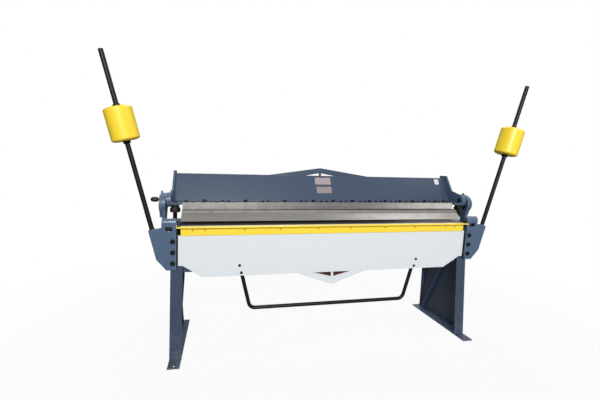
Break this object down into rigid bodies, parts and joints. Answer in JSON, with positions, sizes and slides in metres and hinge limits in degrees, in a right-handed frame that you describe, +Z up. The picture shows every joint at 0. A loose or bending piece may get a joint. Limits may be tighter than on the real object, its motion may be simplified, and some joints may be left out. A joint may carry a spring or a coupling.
{
  "type": "box and pan brake",
  "caption": "Floor-standing box and pan brake with a row of clamping fingers, a counterweighted folding leaf and eccentric clamp levers.",
  "frame": {"origin": "on the floor, under the middle of the whole machine's outline", "axes": "+X along the bend line to the operator's right, +Y from the operator to the back, +Z up"},
  "size_m": [2.9302, 0.7719, 1.908],
  "materials": {
    "frame_paint": "satin blue-grey paint",
    "apron_paint": "satin pale grey paint",
    "yellow_paint": "semi-gloss yellow paint",
    "black_paint": "satin black paint",
    "red_primer": "matt red-brown primer",
    "tool_steel": "ground steel",
    "black_oxide": "blackened steel",
    "grip_plastic": "glossy black"
  },
  "bodies": {
    "frame": {"left_leg": "frame_paint", "right_leg": "frame_paint", "left_leg_brace": "frame_paint", "right_leg_brace": "frame_paint", "left_foot_plate": "frame_paint", "right_foot_plate": "frame_paint", "bed_top_bar": "tool_steel", "bed_web": "frame_paint", "bed_truss": "red_primer", "bed_ribs": "frame_paint", "left_bed_end": "frame_paint", "right_bed_end": "frame_paint", "hinge_pins": "tool_steel", "left_link_arm": "frame_paint", "right_link_arm": "frame_paint", "frame_bolts": "black_oxide"},
    "folding_leaf": {"leaf_plate": "apron_paint", "angle_bar": "yellow_paint", "angle_bar_screws": "black_oxide", "leaf_truss": "apron_paint", "left_bracket": "frame_paint", "right_bracket": "frame_paint", "leaf_end_bars": "frame_paint", "bracket_bolts": "black_oxide", "left_weight_rod": "black_paint", "right_weight_rod": "black_paint", "left_counterweight": "yellow_paint", "right_counterweight": "yellow_paint", "weight_collars": "black_paint", "pull_handle": "black_paint", "handle_bolts": "black_oxide"},
    "left_eccentric_body": {"left_eccentric": "black_oxide", "left_clamp_lever": "frame_paint", "clamp_grip": "grip_plastic"},
    "right_eccentric_body": {"right_eccentric": "black_oxide", "right_clamp_lever": "frame_paint"},
    "clamp_beam": {"beam_base_plate": "frame_paint", "beam_face_plate": "frame_paint", "beam_truss": "frame_paint", "left_beam_end": "frame_paint", "right_beam_end": "frame_paint", "beam_ribs": "frame_paint", "finger_bolts": "black_oxide", "finger_screws": "black_oxide", "height_stop_screws": "black_oxide", "finger_01": "tool_steel", "finger_02": "tool_steel", "finger_03": "tool_steel", "finger_04": "tool_steel", "finger_05": "tool_steel", "finger_06": "tool_steel", "finger_07": "tool_steel", "finger_08": "tool_steel", "finger_09": "tool_steel", "finger_10": "tool_steel", "finger_11": "tool_steel", "finger_12": "tool_steel", "finger_13": "tool_steel"}
  },
  "joints": [
    {"name": "leaf_hinge", "type": "hinge", "parent": "frame", "child": "folding_leaf", "pos_m": [0, -0.23784, 0.873], "axis": [-1, 0, 0], "range_deg": [0, 140]},
    {"name": "left_eccentric_turn", "type": "hinge", "parent": "frame", "child": "left_eccentric_body", "pos_m": [0, -0.09614, 1.003], "axis": [1, 0, 0], "range_deg": [0, 98]},
    {"name": "right_eccentric_turn", "type": "hinge", "parent": "frame", "child": "right_eccentric_body", "pos_m": [0, -0.09614, 1.003], "axis": [1, 0, 0], "range_deg": [0, 98]},
    {"name": "clamp_beam_ride", "type": "hinge", "parent": "left_eccentric_body", "child": "clamp_beam", "pos_m": [0, -0.0928, 1.02677], "axis": [1, 0, 0], "range_deg": [-98, 0]}
  ],
  "couplings": [
    {"joint": "right_eccentric_turn", "follows": "left_eccentric_turn", "ratio": 1},
    {"joint": "clamp_beam_ride", "follows": "left_eccentric_turn", "ratio": -1}
  ]
}
